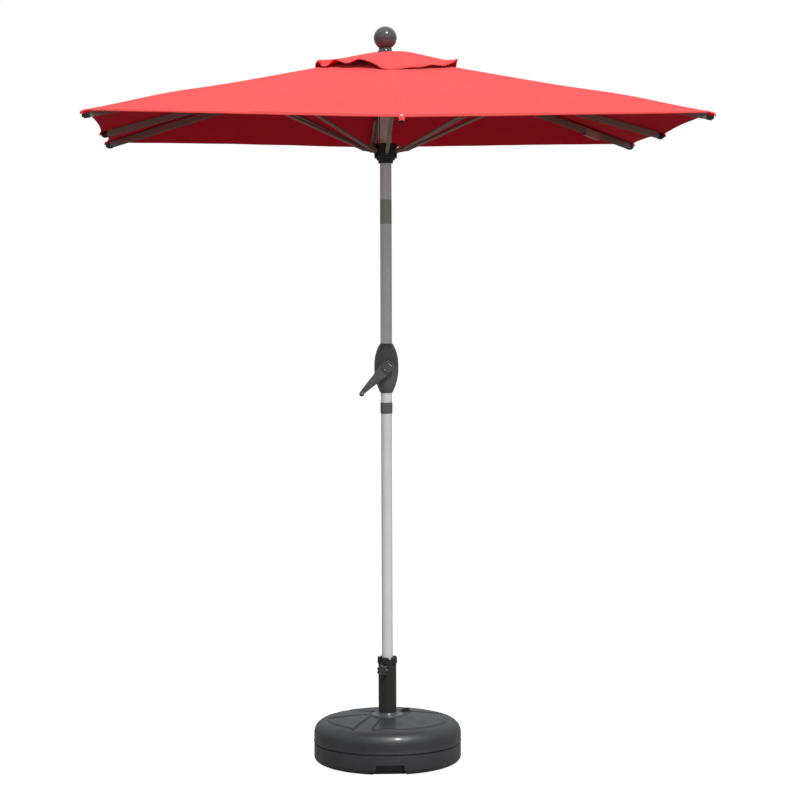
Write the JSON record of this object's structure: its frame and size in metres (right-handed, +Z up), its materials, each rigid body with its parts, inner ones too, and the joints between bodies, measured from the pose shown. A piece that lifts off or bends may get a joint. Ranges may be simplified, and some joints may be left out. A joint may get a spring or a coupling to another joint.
{
  "type": "patio umbrella with base",
  "caption": "Crank-lift patio umbrella with a vented rectangular canopy on folding ribs, a two-part pole and a round fillable base tank with a clamped socket tube.",
  "frame": {"origin": "on the ground, under the middle of the pole", "axes": "+Z up the pole, X along the canopy's long side, -Y towards the crank"},
  "size_m": [1.906, 1.3414, 2.4425],
  "materials": {
    "tank_plastic": "satin, blow-moulded",
    "sand": "loose sand",
    "black_plastic": "moulded",
    "black_steel": "satin paint",
    "pole_aluminium": "anodised",
    "grey_plastic": "moulded",
    "zinc_steel": "zinc plated",
    "chrome_pin": "polished",
    "white_nylon": "moulded",
    "cord": "braided",
    "finial_plastic": "gloss",
    "canopy_cloth": "woven polyester",
    "rib_metal": "satin taupe",
    "cap_plastic": "moulded"
  },
  "bodies": {
    "base": {"base_tank": "tank_plastic", "ballast_fill": "sand", "socket_tube": "black_steel", "pole_bush": "black_plastic"},
    "filler_cap": {"filler_cap": "black_plastic"},
    "cap_ring": {"cap_ring": "black_plastic"},
    "clamp_knob": {"clamp_knob": "black_plastic"},
    "lower_mast": {"lower_pole": "pole_aluminium", "joint_sleeve": "grey_plastic"},
    "mast": {"upper_pole": "pole_aluminium", "pole_spigot": "pole_aluminium", "crank_housing_front": "grey_plastic", "crank_housing_rear": "grey_plastic", "housing_screws": "zinc_steel", "lift_cord": "cord", "pulley_bracket": "zinc_steel", "top_hub": "black_plastic", "hub_pins": "zinc_steel", "finial": "finial_plastic", "vent_canopy": "canopy_cloth"},
    "cord_pulley": {"cord_pulley": "white_nylon"},
    "crank": {"crank_shaft": "zinc_steel", "cord_spool": "black_plastic", "crank_arm": "grey_plastic", "crank_pin": "chrome_pin"},
    "crank_knob": {"crank_knob": "black_plastic"},
    "rib_left": {"rib_left": "rib_metal", "fittings_left": "cap_plastic", "canopy_left": "canopy_cloth"},
    "strut_left": {"strut_left": "rib_metal"},
    "rib_right": {"rib_right": "rib_metal", "fittings_right": "cap_plastic", "canopy_right": "canopy_cloth"},
    "strut_right": {"strut_right": "rib_metal"},
    "rib_back_right": {"rib_back_right": "rib_metal", "fittings_back_right": "cap_plastic", "canopy_back_right": "canopy_cloth"},
    "strut_back_right": {"strut_back_right": "rib_metal"},
    "rib_back": {"rib_back": "rib_metal", "fittings_back": "cap_plastic", "canopy_back": "canopy_cloth"},
    "strut_back": {"strut_back": "rib_metal"},
    "rib_back_left": {"rib_back_left": "rib_metal", "fittings_back_left": "cap_plastic", "canopy_back_left": "canopy_cloth"},
    "strut_back_left": {"strut_back_left": "rib_metal"},
    "rib_front_left": {"rib_front_left": "rib_metal", "fittings_front_left": "cap_plastic", "canopy_front_left": "canopy_cloth"},
    "strut_front_left": {"strut_front_left": "rib_metal"},
    "rib_front": {"rib_front": "rib_metal", "fittings_front": "cap_plastic", "canopy_front": "canopy_cloth"},
    "strut_front": {"strut_front": "rib_metal"},
    "rib_front_right": {"rib_front_right": "rib_metal", "fittings_front_right": "cap_plastic", "canopy_front_right": "canopy_cloth"},
    "strut_front_right": {"strut_front_right": "rib_metal"},
    "runner": {"runner": "black_plastic", "runner_pins": "zinc_steel"}
  },
  "joints": [
    {"name": "filler_cap_turn", "type": "hinge", "parent": "base", "child": "filler_cap", "pos_m": [0.06566, 0.05708, 0.1565], "axis": [0, 0, 1], "range_deg": [0, 360]},
    {"name": "cap_ring_turn", "type": "hinge", "parent": "base", "child": "cap_ring", "pos_m": [0, 0, 0.34], "axis": [0, 0, 1], "range_deg": [0, 180]},
    {"name": "clamp_knob_turn", "type": "hinge", "parent": "base", "child": "clamp_knob", "pos_m": [0, 0, 0.313], "axis": [-0.3987, -0.9171, 0], "range_deg": [0, 720]},
    {"name": "pole_swivel", "type": "hinge", "parent": "base", "child": "lower_mast", "pos_m": [0, 0, 0.1], "axis": [0, 0, 1], "continuous": true},
    {"name": "upper_pole_lift", "type": "slide", "parent": "lower_mast", "child": "mast", "axis": [0, 0, 1], "range_m": [0, 0.09]},
    {"name": "pulley_spin", "type": "hinge", "parent": "mast", "child": "cord_pulley", "pos_m": [-0.01575, 0, 2.29346], "axis": [0, 1, 0], "continuous": true},
    {"name": "crank_turn", "type": "hinge", "parent": "mast", "child": "crank", "pos_m": [0, 0, 1.321], "axis": [0, -1, 0], "continuous": true},
    {"name": "crank_knob_spin", "type": "hinge", "parent": "crank", "child": "crank_knob", "pos_m": [-0.08697, -0.06, 1.23403], "axis": [0, -1, 0], "continuous": true},
    {"name": "canopy_fold", "type": "hinge", "parent": "mast", "child": "rib_left", "pos_m": [-0.034, 0, 2.32646], "axis": [0, -1, 0], "range_deg": [0, 67], "deforming": ["canopy_left", "vent_canopy", "lift_cord"]},
    {"name": "strut_left_swing", "type": "hinge", "parent": "rib_left", "child": "strut_left", "pos_m": [-0.40024, 0, 2.17849], "axis": [0, -1, 0], "range_deg": [-134, 0]},
    {"name": "rib_right_fold", "type": "hinge", "parent": "mast", "child": "rib_right", "pos_m": [0.034, 0, 2.32646], "axis": [0, 1, 0], "range_deg": [0, 67], "deforming": ["canopy_right"]},
    {"name": "strut_right_swing", "type": "hinge", "parent": "rib_right", "child": "strut_right", "pos_m": [0.40024, 0, 2.17849], "axis": [0, 1, 0], "range_deg": [-134, 0]},
    {"name": "rib_back_right_fold", "type": "hinge", "parent": "mast", "child": "rib_back_right", "pos_m": [0.02785, 0.0195, 2.32946], "axis": [-0.5735, 0.8192, 0], "range_deg": [0, 67], "deforming": ["canopy_back_right"]},
    {"name": "strut_back_right_swing", "type": "hinge", "parent": "rib_back_right", "child": "strut_back_right", "pos_m": [0.32789, 0.22952, 2.18149], "axis": [-0.5735, 0.8192, 0], "range_deg": [-134, 0]},
    {"name": "rib_back_fold", "type": "hinge", "parent": "mast", "child": "rib_back", "pos_m": [0, 0.034, 2.31846], "axis": [-1, 0, 0], "range_deg": [0, 67], "deforming": ["canopy_back"]},
    {"name": "strut_back_swing", "type": "hinge", "parent": "rib_back", "child": "strut_back", "pos_m": [0, 0.40024, 2.17049], "axis": [-1, 0, 0], "range_deg": [-134, 0]},
    {"name": "rib_back_left_fold", "type": "hinge", "parent": "mast", "child": "rib_back_left", "pos_m": [-0.02785, 0.0195, 2.32946], "axis": [-0.5735, -0.8192, 0], "range_deg": [0, 67], "deforming": ["canopy_back_left"]},
    {"name": "strut_back_left_swing", "type": "hinge", "parent": "rib_back_left", "child": "strut_back_left", "pos_m": [-0.32789, 0.22952, 2.18149], "axis": [-0.5735, -0.8192, 0], "range_deg": [-134, 0]},
    {"name": "rib_front_left_fold", "type": "hinge", "parent": "mast", "child": "rib_front_left", "pos_m": [-0.02785, -0.0195, 2.32946], "axis": [0.5735, -0.8192, 0], "range_deg": [0, 67], "deforming": ["canopy_front_left"]},
    {"name": "strut_front_left_swing", "type": "hinge", "parent": "rib_front_left", "child": "strut_front_left", "pos_m": [-0.32789, -0.22952, 2.18149], "axis": [0.5735, -0.8192, 0], "range_deg": [-134, 0]},
    {"name": "rib_front_fold", "type": "hinge", "parent": "mast", "child": "rib_front", "pos_m": [0, -0.034, 2.31846], "axis": [1, 0, 0], "range_deg": [0, 67], "deforming": ["canopy_front"]},
    {"name": "strut_front_swing", "type": "hinge", "parent": "rib_front", "child": "strut_front", "pos_m": [0, -0.40024, 2.17049], "axis": [1, 0, 0], "range_deg": [-134, 0]},
    {"name": "rib_front_right_fold", "type": "hinge", "parent": "mast", "child": "rib_front_right", "pos_m": [0.02785, -0.0195, 2.32946], "axis": [0.5735, 0.8192, 0], "range_deg": [0, 67], "deforming": ["canopy_front_right"]},
    {"name": "strut_front_right_swing", "type": "hinge", "parent": "rib_front_right", "child": "strut_front_right", "pos_m": [0.32789, -0.22952, 2.18149], "axis": [0.5735, 0.8192, 0], "range_deg": [-134, 0]},
    {"name": "runner_level", "type": "hinge", "parent": "strut_left", "child": "runner", "pos_m": [-0.034, 0, 2.03052], "axis": [0, -1, 0], "range_deg": [0, 67]}
  ],
  "couplings": [
    {"joint": "strut_left_swing", "follows": "canopy_fold", "ratio": -2},
    {"joint": "rib_right_fold", "follows": "canopy_fold", "ratio": 1},
    {"joint": "strut_right_swing", "follows": "canopy_fold", "ratio": -2},
    {"joint": "rib_back_right_fold", "follows": "canopy_fold", "ratio": 1},
    {"joint": "strut_back_right_swing", "follows": "canopy_fold", "ratio": -2},
    {"joint": "rib_back_fold", "follows": "canopy_fold", "ratio": 1},
    {"joint": "strut_back_swing", "follows": "canopy_fold", "ratio": -2},
    {"joint": "rib_back_left_fold", "follows": "canopy_fold", "ratio": 1},
    {"joint": "strut_back_left_swing", "follows": "canopy_fold", "ratio": -2},
    {"joint": "rib_front_left_fold", "follows": "canopy_fold", "ratio": 1},
    {"joint": "strut_front_left_swing", "follows": "canopy_fold", "ratio": -2},
    {"joint": "rib_front_fold", "follows": "canopy_fold", "ratio": 1},
    {"joint": "strut_front_swing", "follows": "canopy_fold", "ratio": -2},
    {"joint": "rib_front_right_fold", "follows": "canopy_fold", "ratio": 1},
    {"joint": "strut_front_right_swing", "follows": "canopy_fold", "ratio": -2},
    {"joint": "runner_level", "follows": "canopy_fold", "ratio": 1}
  ]
}
